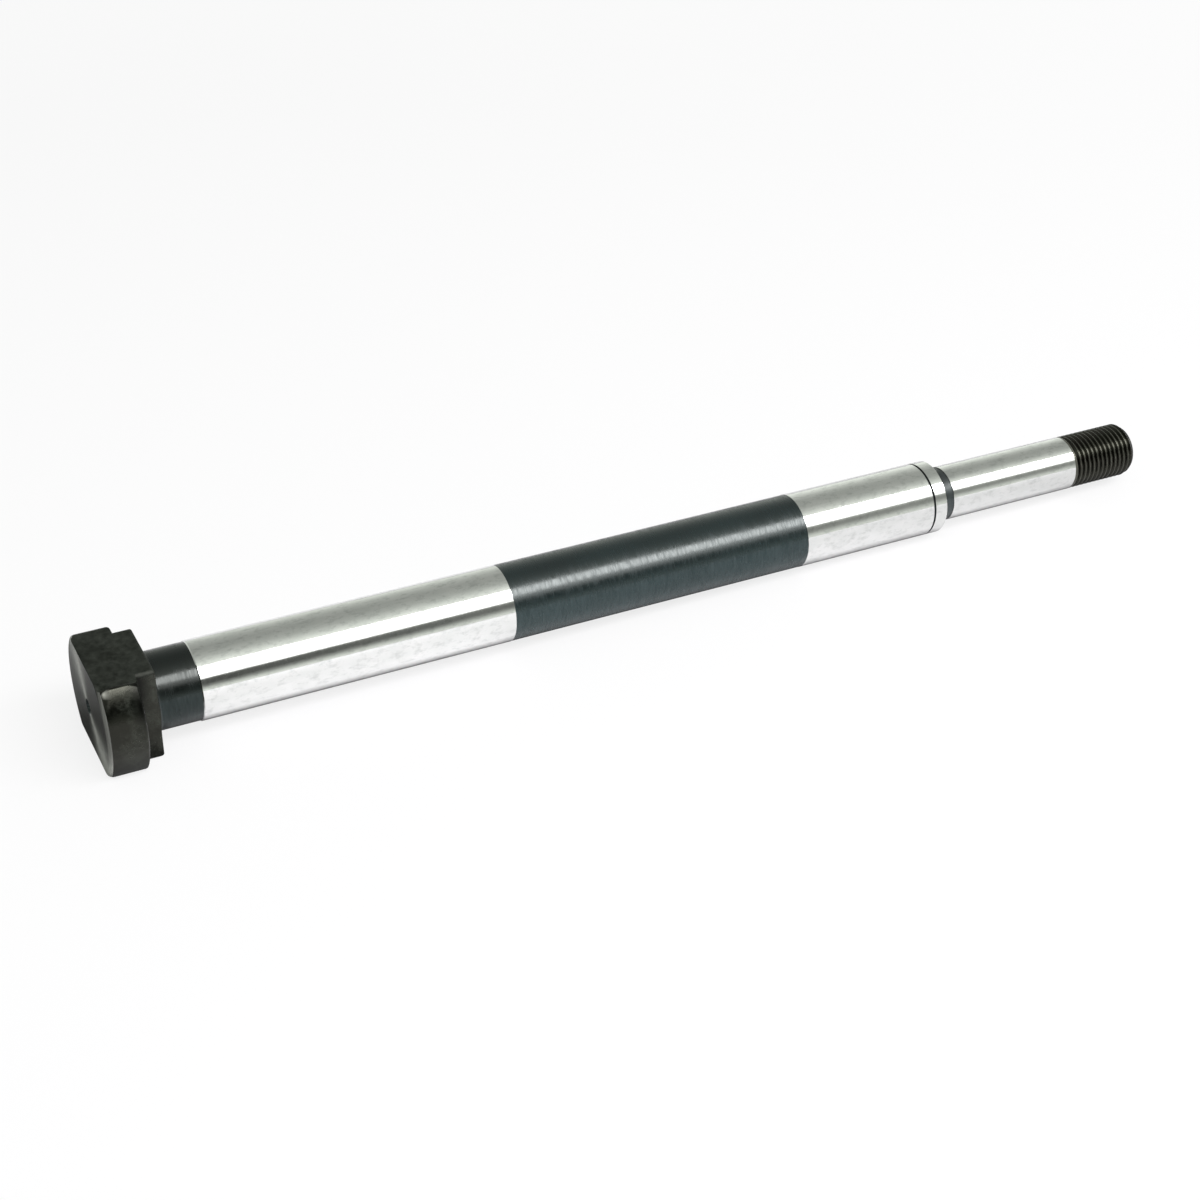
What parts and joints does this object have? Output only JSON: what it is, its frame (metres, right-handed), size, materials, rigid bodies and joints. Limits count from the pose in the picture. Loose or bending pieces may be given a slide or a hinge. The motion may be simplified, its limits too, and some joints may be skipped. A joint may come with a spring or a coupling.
{
  "type": "wheel axle",
  "caption": "Shouldered steel wheel axle with a flatted round head, ground bearing seats, an unground black middle and neck, a ring groove, a smaller end seat and a threaded end.",
  "frame": {"origin": "on the axle's own axis, where the ground shaft begins just after the neck", "axes": "+X along the axle towards the thread, +Z square to the head's two flats, +Y along the flats"},
  "size_m": [0.2873, 0.0342, 0.0238],
  "materials": {
    "steel": "fine ground seats, with blackened head, neck, middle, relief and thread"
  },
  "bodies": {
    "root": {"axle": "steel"}
  },
  "joints": []
}
